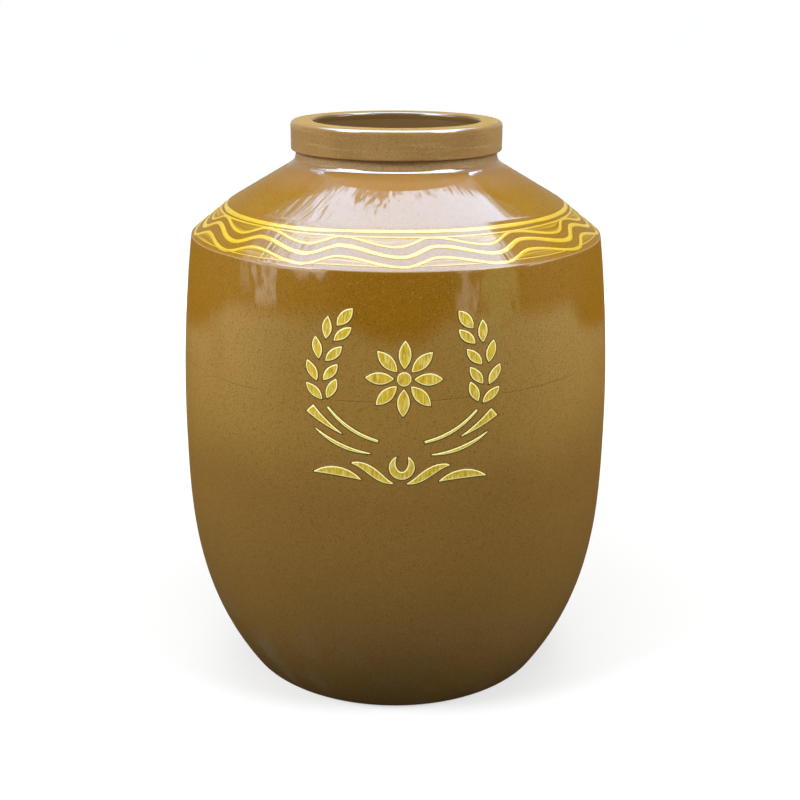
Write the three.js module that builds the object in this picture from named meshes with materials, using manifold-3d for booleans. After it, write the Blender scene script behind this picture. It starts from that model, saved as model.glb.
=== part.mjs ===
// A tall glazed stoneware wine jar, built from luted clay sections with raised yellow glaze ornament.
// Millimetres, +Z up. The origin is the centre of the foot on the floor, and the wreath faces -Y.
import * as THREE from "three";
import { mergeVertices } from "three/addons/utils/BufferGeometryUtils.js";
import Module from "manifold-3d";

const wasm = await Module();
wasm.setup();

// Jar body: radii and heights of the outside
const footRadius = 286;
const footEdge = 18; // height of the rounded lower edge
const bellyRadius = 388;
const bellyHeight = 450;
const lowerFullness = 3; // exponent of the curve from belly to foot
const upperFullness = 2; // exponent of the curve from belly to shoulder edge
const edgeRadius = 363; // crisp edge between wall and shoulder
const edgeHeight = 805;
const bandLength = 90; // slant length of the lower, steeper cone that carries the wave band
const bandSlope = 38.4; // degrees from level
const shoulderRise = 122.5; // from the edge to the neck's seat

// Neck and collar
const mouthRadius = 146;
const neckRadius = 178.5;
const neckHeight = 19.5;
const neckWaist = 1.5; // how far the neck draws in at mid height
const collarRadius = 185;
const collarHeight = 50;
const collarCap = 12; // thickness of the collar over the end of the neck
const collarEdge = 8; // rounding of the rim's outer and inner edges
const collarChamfer = 4;

// Walls and luted joints
const wallThickness = 20;
const baseThickness = 26;
const baseStep = 10; // raised floor that centres the lower wall
const waistSeam = 452; // height of the joint between the two wall sections
const shoulderSeamDrop = 31; // the shoulder's joint below its edge
const tongueHeight = 12;
const tongueWall = 15; // thickness of the neck's lower spigot
const spigotWall = 21; // thickness of the neck inside the collar
const slipGap = 0.5; // film of slip in a luted joint

// Wave band on the shoulder: slant distances from the edge, and line widths
const wavePeriods = 14;
const waveFall = 0.64; // share of a period that falls, the rest rises
const waveStart = -15.8; // degrees from the front to a crest
const topLine = { distance: 82, width: 8.4 };
const upperLine = { distance: 70.4, width: 4 };
const upperWave = { distance: 58.5, width: 5, height: 21.6 }; // height is from trough to crest
const middleWave = { distance: 41, width: 8, height: 24 };
const lowerWave = { distance: 22.5, width: 6, height: 19 };
const lowerLine = { distance: 12.5, width: 3 };

// Wreath on the wall, in its own plane: x to the right, y up, from its centre
const wreathDrop = 187; // its centre below the shoulder's edge
const wreathShift = 10.4;
const wreathTilt = -1.9; // degrees
const stem = { x: -124, y: -9, heading: 102, turn: 54, length: 136 };
const grainPairs = [0.04, 0.26, 0.51, 0.77]; // places along the stem
const grainTip = 0.97;
const grain = { length: 35, width: 14.5, tipWidth: 17, offset: 13.6, spreadLow: 37.5, spreadHigh: 21 };
const outerStalk = {
  startX: -145, startY: -34.4, endX: -93.6, endY: -70.4,
  bow: 2, startWidth: 13, midWidth: 7, endWidth: 1,
};
const innerStalk = {
  startX: -116.7, startY: -29.3, endX: -36.5, endY: -78.2,
  bow: 8, startWidth: 3, midWidth: 5, endWidth: 4,
};
const lowerStalk = {
  startX: -135.7, startY: -66.2, endX: -47.9, endY: -99.2,
  bow: 7.5, startWidth: 1.2, midWidth: 6, endWidth: 1.2,
};
const outerLeaf = {
  startX: -136.8, startY: -139.6, endX: -61.9, endY: -144.1,
  bow: -8.5, startWidth: 1.2, midWidth: 13, endWidth: 1.2,
};
const innerLeaf = {
  startX: -77, startY: -117.2, endX: -10.9, endY: -147.8,
  bow: -2.5, sway: -9, startWidth: 2.4, midWidth: 14, endWidth: 1.2,
};
const crescent = { x: 2, y: -120.5, radius: 19.3, horn: 8.3, hollow: 16.2, hollowAt: 9 };
const rosette = { x: 1, y: 23, petals: 8, inner: 16, length: 44, width: 19, boss: 11 };

// Glaze ornament standing on the wall
const ornamentGap = 0.3;
const ornamentThickness = 1.6;

// Facets round the jar: a whole number for each wave, so that the waves bend on facet edges
const facetsPerWave = 4;
const waveSteps = 8; // steps in one wave
const facets = wavePeriods * facetsPerWave;
const facetAngle = (2 * Math.PI) / facets;

// Heights and radii that follow
const neckSeat = edgeHeight + shoulderRise;
const collarSeat = neckSeat + neckHeight;
const rimHeight = collarSeat + collarHeight;
const shoulderSeam = edgeHeight - shoulderSeamDrop;
const wreathHeight = edgeHeight - wreathDrop;
const slope = THREE.MathUtils.degToRad(bandSlope);
const bandTop = {
  r: edgeRadius - bandLength * Math.cos(slope),
  z: edgeHeight + bandLength * Math.sin(slope),
};
const upperSlope = Math.atan2(neckSeat - bandTop.z, bandTop.r - neckRadius);

// Materials
const glaze = (color, roughness) => new THREE.MeshStandardMaterial({ color, roughness, metalness: 0 });
const brownGlaze = glaze(0x8a6630, 0.25);
const neckClay = glaze(0x8f7350, 0.7);
const yellowGlaze = glaze(0xe8c234, 0.3);

// Outer radius of the wall: a power curve down from the belly, another up to the shoulder's edge.
function wallRadius(z) {
  if (z < bellyHeight) {
    const drop = (bellyHeight - z) / bellyHeight;
    return bellyRadius - (bellyRadius - footRadius) * drop ** lowerFullness;
  }
  const climb = (z - bellyHeight) / (edgeHeight - bellyHeight);
  return bellyRadius - (bellyRadius - edgeRadius) * climb ** upperFullness;
}

// Evenly spaced values from one end to the other, both included.
function span(from, to, steps) {
  return Array.from({ length: steps + 1 }, (_, i) => from + ((to - from) * i) / steps);
}

const outside = (heights, lift = 0) => heights.map((z) => [wallRadius(z) + lift, z]);
const inside = (heights) => outside(heights, -wallThickness);

function arc(r, z, radius, fromDegrees, toDegrees, steps) {
  return span(fromDegrees, toDegrees, steps).map((degrees) => {
    const a = THREE.MathUtils.degToRad(degrees);
    return [r + radius * Math.cos(a), z + radius * Math.sin(a)];
  });
}

// A solid of revolution about Z. The profile runs up its outer side; a ring's profile closes on itself.
function turned(profile, closed = true) {
  const points = profile.map(([r, z]) => new THREE.Vector2(r, z));
  if (closed) points.push(points[0].clone());
  return new THREE.LatheGeometry(points, facets).rotateX(Math.PI / 2);
}

function solid(geometry) {
  const bare = geometry.clone();
  bare.deleteAttribute("normal");
  bare.deleteAttribute("uv");
  const merged = mergeVertices(bare, 1e-3);
  return new wasm.Manifold(
    new wasm.Mesh({
      numProp: 3,
      vertProperties: merged.attributes.position.array,
      triVerts: new Uint32Array(merged.index.array),
    }),
  );
}

function geometryOf(manifold) {
  const mesh = manifold.getMesh();
  const geometry = new THREE.BufferGeometry();
  geometry.setAttribute("position", new THREE.BufferAttribute(mesh.vertProperties, mesh.numProp));
  geometry.setIndex(new THREE.BufferAttribute(mesh.triVerts, 1));
  geometry.computeVertexNormals();
  return geometry;
}

const jar = new THREE.Group();

function add(name, geometry, material) {
  const mesh = new THREE.Mesh(geometry, material);
  mesh.name = name;
  jar.add(mesh);
}

// Wall heights shared by the sections and by the ornament that lies on them
const wallFoot = baseThickness + slipGap;
const floorTop = baseThickness + baseStep;
const lowerHeights = span(wallFoot, waistSeam, 7);
const upperHeights = span(waistSeam + slipGap, shoulderSeam, 4);
const halfLap = (seam) => wallRadius(seam) - wallThickness / 2;

// Bottom slab: rounded lower edge, a rim for the wall to stand on and a raised floor inside it.
function baseSlab() {
  const edge = new THREE.QuadraticBezierCurve(
    new THREE.Vector2(footRadius - footEdge, 0),
    new THREE.Vector2(footRadius, 0),
    new THREE.Vector2(wallRadius(footEdge), footEdge),
  );
  const profile = [
    [0, 0],
    ...edge.getPoints(3).map((p) => [p.x, p.y]),
    [wallRadius(baseThickness), baseThickness],
    ...inside([baseThickness, floorTop]).map(([r, z]) => [r - slipGap, z]),
    [0, floorTop],
  ];
  return turned(profile, false);
}

// Lower wall: stands on the slab, with a tongue on the inner half of its upper edge.
function lowerWall() {
  const tongueTop = waistSeam + tongueHeight;
  const lap = halfLap(waistSeam) - slipGap / 2;
  return turned([
    ...outside(lowerHeights),
    [lap, waistSeam],
    [lap, tongueTop],
    ...inside([...span(tongueTop, floorTop, 5), wallFoot]),
  ]);
}

// Upper wall: rebated over the lower wall's tongue, with a tongue of its own for the shoulder.
function upperWall() {
  const rebateTop = waistSeam + tongueHeight + slipGap;
  const tongueTop = shoulderSeam + tongueHeight;
  const rebate = halfLap(waistSeam) + slipGap / 2;
  const lap = halfLap(shoulderSeam) - slipGap / 2;
  return turned([
    [rebate, waistSeam + slipGap],
    ...outside(upperHeights),
    [lap, shoulderSeam],
    [lap, tongueTop],
    ...inside(span(tongueTop, rebateTop, 3)),
    [rebate, rebateTop],
  ]);
}

// Underside of the shoulder at a radius, one wall's thickness below each cone.
const underBand = (r) => edgeHeight + (edgeRadius - r) * Math.tan(slope) - wallThickness / Math.cos(slope);
const underNeck = (r) =>
  bandTop.z + (bandTop.r - r) * Math.tan(upperSlope) - wallThickness / Math.cos(upperSlope);

// Shoulder: two cones from the edge to the neck, with a bore that takes the neck's spigot.
function shoulderDome() {
  const rebateTop = shoulderSeam + tongueHeight + slipGap;
  const rebate = halfLap(shoulderSeam) + slipGap / 2;
  const bore = mouthRadius + tongueWall + slipGap;
  const corner = edgeRadius - wallThickness;
  const low = underBand(0);
  const high = underNeck(0);
  const underKink = (low - high) / (Math.tan(slope) - Math.tan(upperSlope));
  return turned([
    [rebate, shoulderSeam + slipGap],
    [wallRadius(shoulderSeam + slipGap), shoulderSeam + slipGap],
    [edgeRadius, edgeHeight],
    [bandTop.r, bandTop.z],
    [neckRadius, neckSeat],
    [bore, neckSeat],
    [bore, underNeck(bore)],
    [underKink, underNeck(underKink)],
    [corner, underBand(corner)],
    ...inside([rebateTop]),
    [rebate, rebateTop],
  ]);
}

// Neck: a spigot down into the shoulder, a drawn-in band that shows, and a tube up inside the collar.
function neckRing() {
  const tube = mouthRadius + spigotWall;
  const tubeTop = rimHeight - collarCap;
  const spigot = mouthRadius + tongueWall;
  return turned([
    [mouthRadius, neckSeat - tongueHeight],
    [spigot, neckSeat - tongueHeight],
    [spigot, neckSeat + slipGap],
    [neckRadius, neckSeat + slipGap],
    [neckRadius - neckWaist, neckSeat + neckHeight / 2],
    [neckRadius, collarSeat],
    [tube, collarSeat],
    [tube, tubeTop],
    [mouthRadius, tubeTop],
  ]);
}

// Collar: a thick band capped over the neck's tube, rounded on both edges of the rim.
function collarRing() {
  const socket = mouthRadius + spigotWall + slipGap;
  const foot = collarSeat + slipGap;
  const capFoot = rimHeight - collarCap + slipGap;
  return turned([
    [socket, foot],
    [collarRadius - collarChamfer, foot],
    [collarRadius, foot + collarChamfer],
    ...arc(collarRadius - collarEdge, rimHeight - collarEdge, collarEdge, 0, 90, 3),
    ...arc(mouthRadius + collarEdge, rimHeight - collarEdge, collarEdge, 90, 180, 3),
    [mouthRadius, capFoot],
    [socket, capFoot],
  ]);
}

add("base_slab", baseSlab(), brownGlaze);
add("lower_wall", lowerWall(), brownGlaze);
add("upper_wall", upperWall(), brownGlaze);
add("shoulder_dome", shoulderDome(), brownGlaze);
add("neck_ring", neckRing(), neckClay);
add("collar_ring", collarRing(), brownGlaze);

// How far a facet lies inside its circle at an angle from the front.
function facetShare(angle) {
  const within = THREE.MathUtils.euclideanModulo(angle, facetAngle) - facetAngle / 2;
  return Math.cos(facetAngle / 2) / Math.cos(within);
}

// A point over the band's cone: angle from the front, slant distance from the edge, height off the cone.
function bandPoint(angle, slant, lift) {
  const r = edgeRadius - slant * Math.cos(slope) + lift * Math.sin(slope);
  const z = edgeHeight + slant * Math.sin(slope) + lift * Math.cos(slope);
  const round = r * facetShare(angle);
  return [round * Math.sin(angle), -round * Math.cos(angle), z];
}

// Slant distance of a wave: a cosine whose falling side is longer than its rising side.
function waveSlant(wave, angle) {
  const start = THREE.MathUtils.degToRad(waveStart);
  const turn = THREE.MathUtils.euclideanModulo(((angle - start) * wavePeriods) / (2 * Math.PI), 1);
  const phase = turn < waveFall ? turn / waveFall : 1 + (turn - waveFall) / (1 - waveFall);
  return wave.distance + (wave.height / 2) * Math.cos(Math.PI * phase);
}

// A closed band of glaze round the shoulder, of even width across its run.
function bandRing(line, slantAt, steps, gap) {
  const positions = [];
  const index = [];
  const turn = (2 * Math.PI) / steps;
  for (let i = 0; i < steps; i++) {
    const angle = i * turn;
    const run = 2 * turn * (edgeRadius - line.distance * Math.cos(slope));
    const lean = (slantAt(angle + turn) - slantAt(angle - turn)) / run;
    const half = (line.width / 2) * Math.hypot(1, lean);
    const slant = slantAt(angle);
    const top = gap + ornamentThickness;
    positions.push(...bandPoint(angle, slant - half, gap), ...bandPoint(angle, slant - half, top));
    positions.push(...bandPoint(angle, slant + half, top), ...bandPoint(angle, slant + half, gap));
    const next = (i + 1) % steps;
    for (let side = 0; side < 4; side++) {
      const a = 4 * i + side;
      const b = 4 * i + ((side + 1) % 4);
      const c = 4 * next + ((side + 1) % 4);
      const d = 4 * next + side;
      index.push(a, d, b, b, d, c);
    }
  }
  const geometry = new THREE.BufferGeometry();
  geometry.setAttribute("position", new THREE.Float32BufferAttribute(positions, 3));
  geometry.setIndex(index);
  return geometry;
}

const lineSkew = 0.05; // lines lie this much further off the wall than the waves that run into them
const ringLine = (line) => bandRing(line, () => line.distance, facets, ornamentGap + lineSkew);
const ringWave = (wave) =>
  bandRing(wave, (angle) => waveSlant(wave, angle), wavePeriods * waveSteps, ornamentGap);
const scallop = (wave, line) => geometryOf(solid(ringWave(wave)).add(solid(ringLine(line))));

add("band_top_line", ringLine(topLine), yellowGlaze);
add("band_upper_scallop", scallop(upperWave, upperLine), yellowGlaze);
add("band_middle_wave", ringWave(middleWave), yellowGlaze);
add("band_lower_scallop", scallop(lowerWave, lowerLine), yellowGlaze);

// The thin layer over the wall, facet for facet, that the wreath's pieces are cut from.
const layerHeights = [...lowerHeights, ...upperHeights.slice(1)];
const wreathLayer = solid(
  turned([
    ...outside(layerHeights, ornamentGap + ornamentThickness),
    ...outside(layerHeights, ornamentGap).reverse(),
  ]),
);

// An outline in the wreath's plane, carried straight back on to the wall.
function onWall(shape) {
  const prism = new THREE.ExtrudeGeometry(shape, {
    depth: bellyRadius + wallThickness,
    bevelEnabled: false,
    curveSegments: 4,
  });
  prism.rotateZ(THREE.MathUtils.degToRad(wreathTilt));
  prism.translate(wreathShift, wreathHeight, 0);
  prism.rotateX(Math.PI / 2);
  return geometryOf(solid(prism).intersect(wreathLayer));
}

const mirrored = (points) => points.map((p) => new THREE.Vector2(-p.x, p.y)).reverse();

// A pointed seed: two curves that meet at its ends.
function seedPoints(x, y, degrees, length, width) {
  const a = THREE.MathUtils.degToRad(degrees);
  const along = new THREE.Vector2(Math.cos(a), Math.sin(a));
  const across = new THREE.Vector2(-along.y, along.x);
  const centre = new THREE.Vector2(x, y);
  const place = (u, v) => centre.clone().addScaledVector(along, u).addScaledVector(across, v);
  const right = new THREE.QuadraticBezierCurve(place(-length / 2, 0), place(0, -width), place(length / 2, 0));
  const left = new THREE.QuadraticBezierCurve(place(length / 2, 0), place(0, width), place(-length / 2, 0));
  return [...right.getPoints(4), ...left.getPoints(4).slice(1, -1)];
}

// A tapering stroke along a line that is bowed to its right hand, and swayed where it is an ogee.
function strokePoints(stroke) {
  const start = new THREE.Vector2(stroke.startX, stroke.startY);
  const end = new THREE.Vector2(stroke.endX, stroke.endY);
  const along = end.clone().sub(start).normalize();
  const right = new THREE.Vector2(along.y, -along.x);
  const pull = (share, reach) => start.clone().lerp(end, share).addScaledVector(right, reach);
  const sway = stroke.sway ?? 0;
  const bowed = (4 * stroke.bow) / 3;
  const line = new THREE.CubicBezierCurve(start, pull(1 / 3, bowed + sway), pull(2 / 3, bowed - sway), end);
  const sides = span(0, 1, 6).map((t) => {
    const straight = stroke.startWidth * (1 - t) + stroke.endWidth * t;
    const swell = stroke.midWidth - (stroke.startWidth + stroke.endWidth) / 2;
    const width = straight + swell * 4 * t * (1 - t);
    const tangent = line.getTangent(t);
    const normal = new THREE.Vector2(tangent.y, -tangent.x);
    const point = line.getPoint(t);
    return [1, -1].map((side) => point.clone().addScaledVector(normal, (side * width) / 2));
  });
  return [...sides.map(([right]) => right), ...sides.map(([, left]) => left).reverse()];
}

// A piece of the left half of the wreath and its twin on the right.
function addPair(name, points) {
  const [kind, number] = name;
  add(`${kind}_left_${number}`, onWall(new THREE.Shape(points)), yellowGlaze);
  add(`${kind}_right_${number}`, onWall(new THREE.Shape(mirrored(points))), yellowGlaze);
}

// Wheat ear: pairs of seeds leaning off a bent stem, and one at its tip.
function stemAt(share) {
  const bend = stem.length / THREE.MathUtils.degToRad(stem.turn);
  const start = THREE.MathUtils.degToRad(stem.heading);
  const heading = start - THREE.MathUtils.degToRad(stem.turn) * share;
  return {
    x: stem.x + bend * (Math.sin(start) - Math.sin(heading)),
    y: stem.y + bend * (Math.cos(heading) - Math.cos(start)),
    heading,
  };
}

let seedNumber = 0;
for (const share of grainPairs) {
  const { x, y, heading } = stemAt(share);
  const lean = THREE.MathUtils.lerp(grain.spreadLow, grain.spreadHigh, share);
  for (const side of [1, -1]) {
    const seedX = x - side * grain.offset * Math.sin(heading);
    const seedY = y + side * grain.offset * Math.cos(heading);
    const degrees = THREE.MathUtils.radToDeg(heading) + side * lean;
    seedNumber += 1;
    addPair(["wheat_grain", seedNumber], seedPoints(seedX, seedY, degrees, grain.length, grain.width));
  }
}
const tip = stemAt(grainTip);
const tipDegrees = THREE.MathUtils.radToDeg(tip.heading);
addPair(["wheat_grain", seedNumber + 1], seedPoints(tip.x, tip.y, tipDegrees, grain.length, grain.tipWidth));

for (const [i, stroke] of [outerStalk, innerStalk, lowerStalk].entries()) {
  addPair(["stalk", i + 1], strokePoints(stroke));
}
for (const [i, stroke] of [outerLeaf, innerLeaf].entries()) {
  addPair(["ribbon_leaf", i + 1], strokePoints(stroke));
}

// Crescent: a disc with an oval hollow that opens between its horns.
function crescentShape() {
  const { x, y, radius, horn, hollow, hollowAt } = crescent;
  const rise = Math.sqrt(radius ** 2 - horn ** 2);
  const outer = Math.atan2(rise, horn);
  const level = (rise - hollowAt) / hollow;
  const breadth = horn / Math.sqrt(1 - level ** 2);
  const inner = Math.asin(level);
  const shape = new THREE.Shape();
  shape.absarc(x, y, radius, Math.PI - outer, outer, false);
  shape.absellipse(x, y + hollowAt, breadth, hollow, inner, Math.PI - inner, true);
  return new THREE.Shape(shape.getPoints(9).slice(0, -1));
}
add("crescent", onWall(crescentShape()), yellowGlaze);

// Rosette: seed-shaped petals round a boss.
for (let i = 0; i < rosette.petals; i++) {
  const degrees = 90 + (360 * i) / rosette.petals;
  const a = THREE.MathUtils.degToRad(degrees);
  const reach = rosette.inner + rosette.length / 2;
  const x = rosette.x + reach * Math.cos(a);
  const y = rosette.y + reach * Math.sin(a);
  const petal = new THREE.Shape(seedPoints(x, y, degrees, rosette.length, rosette.width));
  add(`rosette_petal_${i + 1}`, onWall(petal), yellowGlaze);
}
const boss = new THREE.Shape().absarc(rosette.x, rosette.y, rosette.boss, 0, 2 * Math.PI, false);
add("rosette_boss", onWall(new THREE.Shape(boss.getPoints(12).slice(0, -1))), yellowGlaze);

export default jar;
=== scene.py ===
import math

import bpy
import numpy as np
from mathutils import Euler, Matrix, Vector


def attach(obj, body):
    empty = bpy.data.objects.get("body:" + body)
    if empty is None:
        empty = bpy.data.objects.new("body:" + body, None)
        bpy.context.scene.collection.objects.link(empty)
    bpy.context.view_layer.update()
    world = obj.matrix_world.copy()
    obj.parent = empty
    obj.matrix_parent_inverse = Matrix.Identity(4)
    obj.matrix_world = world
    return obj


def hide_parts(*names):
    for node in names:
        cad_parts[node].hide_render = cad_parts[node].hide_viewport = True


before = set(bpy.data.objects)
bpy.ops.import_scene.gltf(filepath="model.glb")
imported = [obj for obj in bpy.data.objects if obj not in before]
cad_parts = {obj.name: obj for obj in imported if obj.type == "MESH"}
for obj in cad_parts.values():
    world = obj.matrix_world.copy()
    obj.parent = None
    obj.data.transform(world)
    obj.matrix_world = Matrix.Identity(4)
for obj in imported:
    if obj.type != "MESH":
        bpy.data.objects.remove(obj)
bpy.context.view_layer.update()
scene = bpy.context.scene
print("frame loaded,", len(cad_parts), "nodes")


# Grids and meshes

# a smooth step from 0 to 1 between two edges
def ramp(low, high, x):
    t = np.clip((x - low) / (high - low), 0, 1)
    return t * t * (3 - 2 * t)


# points on a curve that leaves a towards b and reaches c from b
def bend(a, b, c, count):
    a, b, c = (np.asarray(p, float) for p in (a, b, c))
    t = np.linspace(0, 1, count)[:, None]
    return (1 - t) ** 2 * a + 2 * t * (1 - t) * b + t**2 * c


# straight points from a to b
def straight(a, b, count=2):
    t = np.linspace(0, 1, count)[:, None]
    return (1 - t) * np.asarray(a, float) + t * np.asarray(b, float)


# straight runs from corner to corner, each with its count of points
def cornered(corners, counts):
    return [straight(a, b, count) for a, b, count in zip(corners, corners[1:], counts)]


# runs of points end to end, each start left out where it repeats the last end
def chain(*runs):
    kept = [runs[0]] + [run[1:] for run in runs[1:]]
    return np.concatenate(kept)


# distance along a run of points, from its first
def runLength(points):
    return np.concatenate([[0], np.cumsum(np.linalg.norm(np.diff(points, axis=0), axis=1))])


# a mesh object from points, faces, and values for each face corner or point
def makeObject(name, points, faces, material, uv=None, normals=None, values=None):
    mesh = bpy.data.meshes.new(name)
    mesh.from_pydata(points.tolist(), [], [f for group in faces for f in group.tolist()])
    mesh.polygons.foreach_set("use_smooth", np.ones(len(mesh.polygons), bool))
    if uv is not None:
        layer = mesh.uv_layers.new(name="UVMap")
        layer.data.foreach_set("uv", uv.astype(np.float32).ravel())
    for key, array in (values or {}).items():
        layer = mesh.attributes.new(key, "FLOAT", "POINT")
        layer.data.foreach_set("value", array.astype(np.float32).ravel())
    mesh.update()
    if normals is not None:
        mesh.normals_split_custom_set(normals.tolist())
    mesh.materials.append(material)
    made = bpy.data.objects.new(name, mesh)
    scene.collection.objects.link(made)
    return made


# a CAD node's name run together for the piece that replaces it
def pieceName(node):
    first, *others = node.split("_")
    return first + "".join(word.title() for word in others)


# a piece takes the place of CAD nodes, which are hidden
def settle(piece, slot, *nodes):
    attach(piece, "root")
    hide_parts(*nodes)


# outward normals along a profile that is walked up its outer side: the tangent turned right
def profileNormals(points):
    tangent = np.gradient(points, runLength(points), axis=0)
    normal = np.stack([tangent[:, 1], -tangent[:, 0]], axis=1)
    return normal / np.linalg.norm(normal, axis=1, keepdims=True)


# a solid of revolution: the profile carried round the axis, smooth along each run, with corners between runs
def turned(name, runs, material, segments=256, closed=True, values=None):
    runs = [(run, profileNormals(run)) if isinstance(run, np.ndarray) else run for run in runs]
    if closed:
        last, first = runs[-1][0][-1], runs[0][0][0]
        if np.linalg.norm(last - first) > 1e-7:
            joint = np.stack([last, first])
            runs.append((joint, profileNormals(joint)))
    points = chain(*[run for run, _ in runs])
    starts = np.concatenate([normal[:-1] for _, normal in runs])
    ends = np.concatenate([normal[1:] for _, normal in runs])
    if closed:
        points = points[:-1]
    rows = len(points)
    angle = np.arange(segments) * 2 * math.pi / segments
    turn = np.stack([np.sin(angle), -np.cos(angle)], axis=1)
    grid = np.empty((rows, segments, 3))
    grid[:, :, :2] = points[:, None, :1] * turn[None]
    grid[:, :, 2] = points[:, None, 1]
    index = np.arange(rows * segments).reshape(rows, segments)
    poles = points[:, 0] < 1e-9
    index[poles] = index[poles, :1]
    edges = len(starts)
    low, high = np.arange(edges), (np.arange(edges) + 1) % rows
    columns = np.arange(segments)
    after = (columns + 1) % segments
    below, above = index[low], index[high]
    corners = np.stack([below, below[:, after], above[:, after], above], axis=-1)
    shade = np.stack([starts, starts, ends, ends], axis=1)[:, None]
    sides = np.stack([turn, turn[after], turn[after], turn], axis=1)[None]
    rise = np.broadcast_to(shade[..., 1:], (edges, segments, 4, 1))
    normals = np.concatenate([shade[..., :1] * sides, rise], axis=-1)
    length = runLength(points)
    length = np.append(length, length[-1] + np.linalg.norm(points[-1] - points[0]))
    uv = np.empty((edges, segments, 4, 2))
    uv[..., 0] = (np.stack([columns, columns + 1, columns + 1, columns], axis=1) / segments)[None]
    uv[..., 1] = np.stack([length[low], length[low], length[low + 1], length[low + 1]], axis=1)[:, None]
    quad = ~(poles[low] | poles[high])
    faces = [corners[quad].reshape(-1, 4)]
    uvs = [uv[quad].reshape(-1, 2)]
    shades = [normals[quad].reshape(-1, 3)]
    for row in np.flatnonzero(~quad):
        keep = [0, 1, 2] if poles[high[row]] else [0, 2, 3]
        faces.append(corners[row][:, keep])
        uvs.append(uv[row][:, keep].reshape(-1, 2))
        shades.append(normals[row][:, keep].reshape(-1, 3))
    used = np.unique(index)
    renumber = np.zeros(rows * segments, int)
    renumber[used] = np.arange(len(used))
    kept = grid.reshape(-1, 3)[used]
    held = {key: array.reshape(-1)[used] for key, array in (values or {}).items()}
    faces = [renumber[group] for group in faces]
    return makeObject(name, kept, faces, material, np.concatenate(uvs), np.concatenate(shades), held)


# Materials

# one socket of a shader graph; arithmetic on it makes Math nodes
class Wire:
    def __init__(self, graph, socket):
        self.graph = graph
        self.socket = socket

    def math(self, kind, *others):
        return self.graph.node("ShaderNodeMath", {"operation": kind}, dict(enumerate((self, *others))))

    def __add__(self, other):
        return self.math("ADD", other)

    __radd__ = __add__

    def __sub__(self, other):
        return self.math("SUBTRACT", other)

    def __rsub__(self, other):
        return (self * -1).math("ADD", other)

    def __mul__(self, other):
        return self.math("MULTIPLY", other)

    __rmul__ = __mul__

    # smooth 0 to 1 between two edges
    def ramp(self, low, high):
        return self.graph.node(
            "ShaderNodeMapRange",
            {"interpolation_type": "SMOOTHSTEP"},
            {"Value": self, "From Min": low, "From Max": high},
        )

    # smooth 0 to 1 across a level
    def past(self, level, soft):
        return self.ramp(level - soft, level + soft)

    # 1 near a level, 0 further from it than the reach
    def near(self, level, core, reach):
        return 1 - (self - level).math("ABSOLUTE").ramp(core, reach)


# a material's or the world's nodes
class Graph:
    def __init__(self, tree):
        self.tree = tree
        self.tree.nodes.clear()

    # any node, with its settings and inputs; the wire is the named or numbered output
    def node(self, kind, settings=None, inputs=None, output=0):
        made = self.tree.nodes.new(kind)
        for key, value in (settings or {}).items():
            setattr(made, key, value)
        for key, value in (inputs or {}).items():
            if isinstance(value, Wire):
                self.tree.links.new(value.socket, made.inputs[key])
            else:
                made.inputs[key].default_value = value
        return Wire(self, made.outputs[output]) if made.outputs else None

    # the place on the object, stretched along its axes
    def place(self, stretch=(1, 1, 1)):
        spot = self.node("ShaderNodeTexCoord", output="Object")
        return self.node("ShaderNodeVectorMath", {"operation": "MULTIPLY"}, {0: spot, 1: stretch})

    # one coordinate of that place
    def axis(self, name):
        spot = self.node("ShaderNodeTexCoord", output="Object")
        return self.node("ShaderNodeSeparateXYZ", None, {0: spot}, name)

    # distance from the jar's axis
    def reach(self):
        flat = self.place((1, 1, 0))
        return self.node("ShaderNodeVectorMath", {"operation": "LENGTH"}, {0: flat}, "Value")

    # cloudy values about 0.5, finer with the scale and rougher with the detail
    def noise(self, scale, detail=2.0, stretch=(1, 1, 1), vector=None):
        spot = vector or self.place(stretch)
        return self.node("ShaderNodeTexNoise", None, {"Vector": spot, "Scale": scale, "Detail": detail})

    # a value kept on the mesh
    def attribute(self, name):
        return self.node("ShaderNodeAttribute", {"attribute_name": name}, None, "Fac")

    # the first colour going over to the second with the share
    def mix(self, share, first, second):
        tinted = [c if isinstance(c, Wire) else (*c, 1) for c in (first, second)]
        return self.node("ShaderNodeMix", {"data_type": "RGBA"}, {0: share, 6: tinted[0], 7: tinted[1]}, 2)

    # a normal that leans with the slope of a height
    def bump(self, height, distance, strength):
        inputs = {"Height": height, "Distance": distance, "Strength": strength}
        return self.node("ShaderNodeBump", None, inputs)

    # light given off in a colour
    def glow(self, colour, strength=1.0):
        return self.node("ShaderNodeEmission", None, {"Color": colour, "Strength": strength})

    # the surface shows one shader, or the sum of two
    def show(self, shader, other=None):
        if other is not None:
            shader = self.node("ShaderNodeAddShader", None, {0: shader, 1: other})
        self.node("ShaderNodeOutputMaterial", None, {"Surface": shader})

    # the surface shader, with its constants and the values that vary
    def surface(self, inputs):
        self.show(self.node("ShaderNodeBsdfPrincipled", None, inputs))


# an empty material and its graph
def newMaterial(name):
    material = bpy.data.materials.new(name)
    material.use_nodes = True
    return material, Graph(material.node_tree)


glazeLook = {
    "foot": (0.128, 0.076, 0.024),
    "low": (0.192, 0.111, 0.031),
    "belly": (0.226, 0.124, 0.030),
    "haze": (0.285, 0.165, 0.038),
    "upper": (0.235, 0.106, 0.004),
    "flank": (0.300, 0.140, 0.007),
    "shoulder": (0.262, 0.134, 0.006),
    "crest": (0.31, 0.175, 0.070),
    "fleck": (0.10, 0.048, 0.004),
    "pale": (0.36, 0.22, 0.07),
    "veil": (0.43, 0.270, 0.085),
    "dust": (0.19, 0.140, 0.085),
    "joint": (0.09, 0.050, 0.012),
    "edge": (0.50, 0.36, 0.16),
    "wash": (0.51, 0.335, 0.022),
}

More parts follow.
